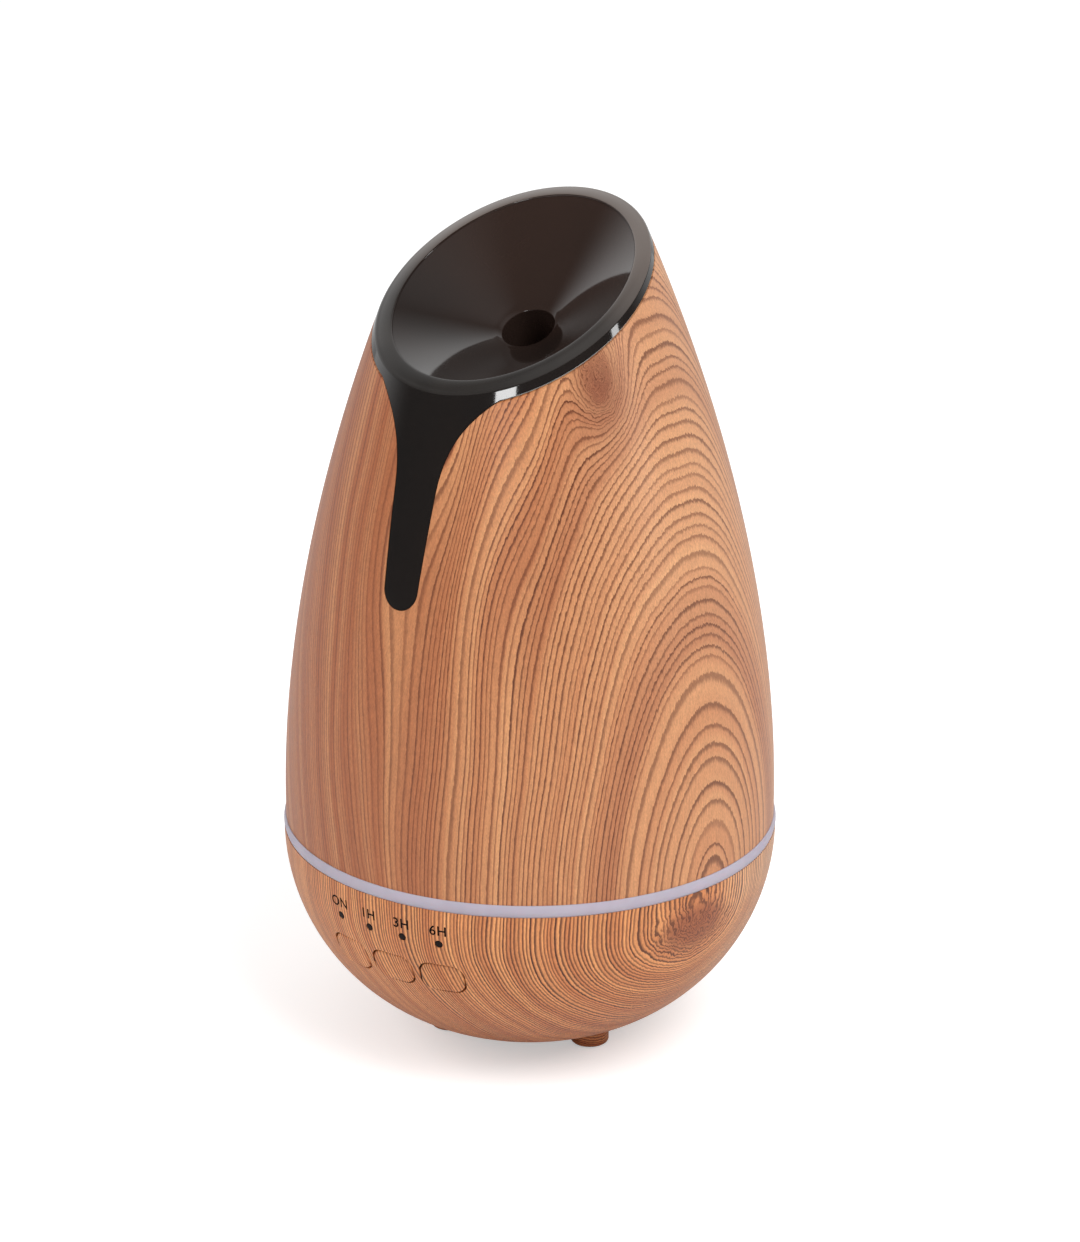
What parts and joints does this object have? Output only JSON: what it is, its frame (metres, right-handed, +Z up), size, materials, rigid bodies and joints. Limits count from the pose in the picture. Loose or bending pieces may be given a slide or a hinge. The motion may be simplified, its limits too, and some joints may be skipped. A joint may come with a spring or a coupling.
{
  "type": "cool mist humidifier",
  "caption": "Egg-shaped wood-print ultrasonic humidifier with a slanted smoked mist funnel, a frosted light ring, push buttons and a lift-off cover over its water tank.",
  "frame": {"origin": "centre of the bounding box on the plane that the rubber pads stand on", "axes": "+Z up along the egg's axis; the buttons and the funnel's tongue face -Y, the power inlet faces +Y"},
  "size_m": [0.13, 0.13, 0.2237],
  "materials": {
    "wood_print": "wood-print film on ABS, satin",
    "smoked_plastic": "smoked, polished",
    "frosted_plastic": "frosted, translucent",
    "tank_white": "white polypropylene",
    "silicone": "soft, matte",
    "foot_rubber": "soft, matte",
    "board_green": "solder mask",
    "black_plastic": "moulded",
    "steel": "zinc plated",
    "aluminium": "bare",
    "copper": "enamelled winding",
    "ceramic": "piezo ceramic disc",
    "led_resin": "clear resin"
  },
  "bodies": {
    "base": {"base_bowl": "wood_print", "lens_on": "smoked_plastic", "lens_1h": "smoked_plastic", "lens_3h": "smoked_plastic", "lens_6h": "smoked_plastic", "light_ring": "frosted_plastic", "water_tank": "tank_white", "air_duct_hood": "tank_white", "tank_gasket": "silicone", "transducer_seal": "silicone", "foot_pad_1": "foot_rubber", "foot_pad_2": "foot_rubber", "foot_pad_3": "foot_rubber", "main_board": "board_green", "light_board": "board_green", "key_board": "board_green", "fan_frame": "black_plastic", "dc_jack": "black_plastic", "power_transistor": "black_plastic", "control_chip": "black_plastic", "left_switch": "black_plastic", "middle_switch": "black_plastic", "right_switch": "black_plastic", "case_screw_1": "steel", "case_screw_2": "steel", "case_screw_3": "steel", "clamp_screw_1": "steel", "clamp_screw_2": "steel", "fan_screw_1": "steel", "fan_screw_2": "steel", "board_screw_1": "steel", "board_screw_2": "steel", "transducer_clamp": "aluminium", "heat_sink": "aluminium", "smoothing_capacitor": "aluminium", "fan_stator": "copper", "drive_inductor": "copper", "transducer_disc": "ceramic", "mood_led_1": "led_resin", "mood_led_2": "led_resin", "mood_led_3": "led_resin", "mood_led_4": "led_resin", "mood_led_5": "led_resin", "indicator_led_on": "led_resin", "indicator_led_1h": "led_resin", "indicator_led_3h": "led_resin", "indicator_led_6h": "led_resin"},
    "cover": {"cover_shell": "wood_print", "mist_funnel": "smoked_plastic", "funnel_gasket": "silicone"},
    "fan_rotor": {"fan_impeller": "black_plastic", "fan_shaft": "steel"},
    "left_key": {"left_button": "wood_print", "left_switch_plunger": "black_plastic"},
    "middle_key": {"middle_button": "wood_print", "middle_switch_plunger": "black_plastic"},
    "right_key": {"right_button": "wood_print", "right_switch_plunger": "black_plastic"}
  },
  "joints": [
    {"name": "cover_lift", "type": "slide", "parent": "base", "child": "cover", "axis": [0, 0, 1], "range_m": [0, 0.12]},
    {"name": "fan_spin", "type": "hinge", "parent": "base", "child": "fan_rotor", "pos_m": [0, 0, 0.014], "axis": [0, 0, 1], "continuous": true},
    {"name": "left_press", "type": "slide", "parent": "base", "child": "left_key", "axis": [0.2116, 0.8813, 0.4226], "range_m": [0, 0.0005], "stiffness_N_per_m": 600},
    {"name": "middle_press", "type": "slide", "parent": "base", "child": "middle_key", "axis": [0, 0.9063, 0.4226], "range_m": [0, 0.0005], "stiffness_N_per_m": 600},
    {"name": "right_press", "type": "slide", "parent": "base", "child": "right_key", "axis": [-0.2116, 0.8813, 0.4226], "range_m": [0, 0.0005], "stiffness_N_per_m": 600}
  ]
}
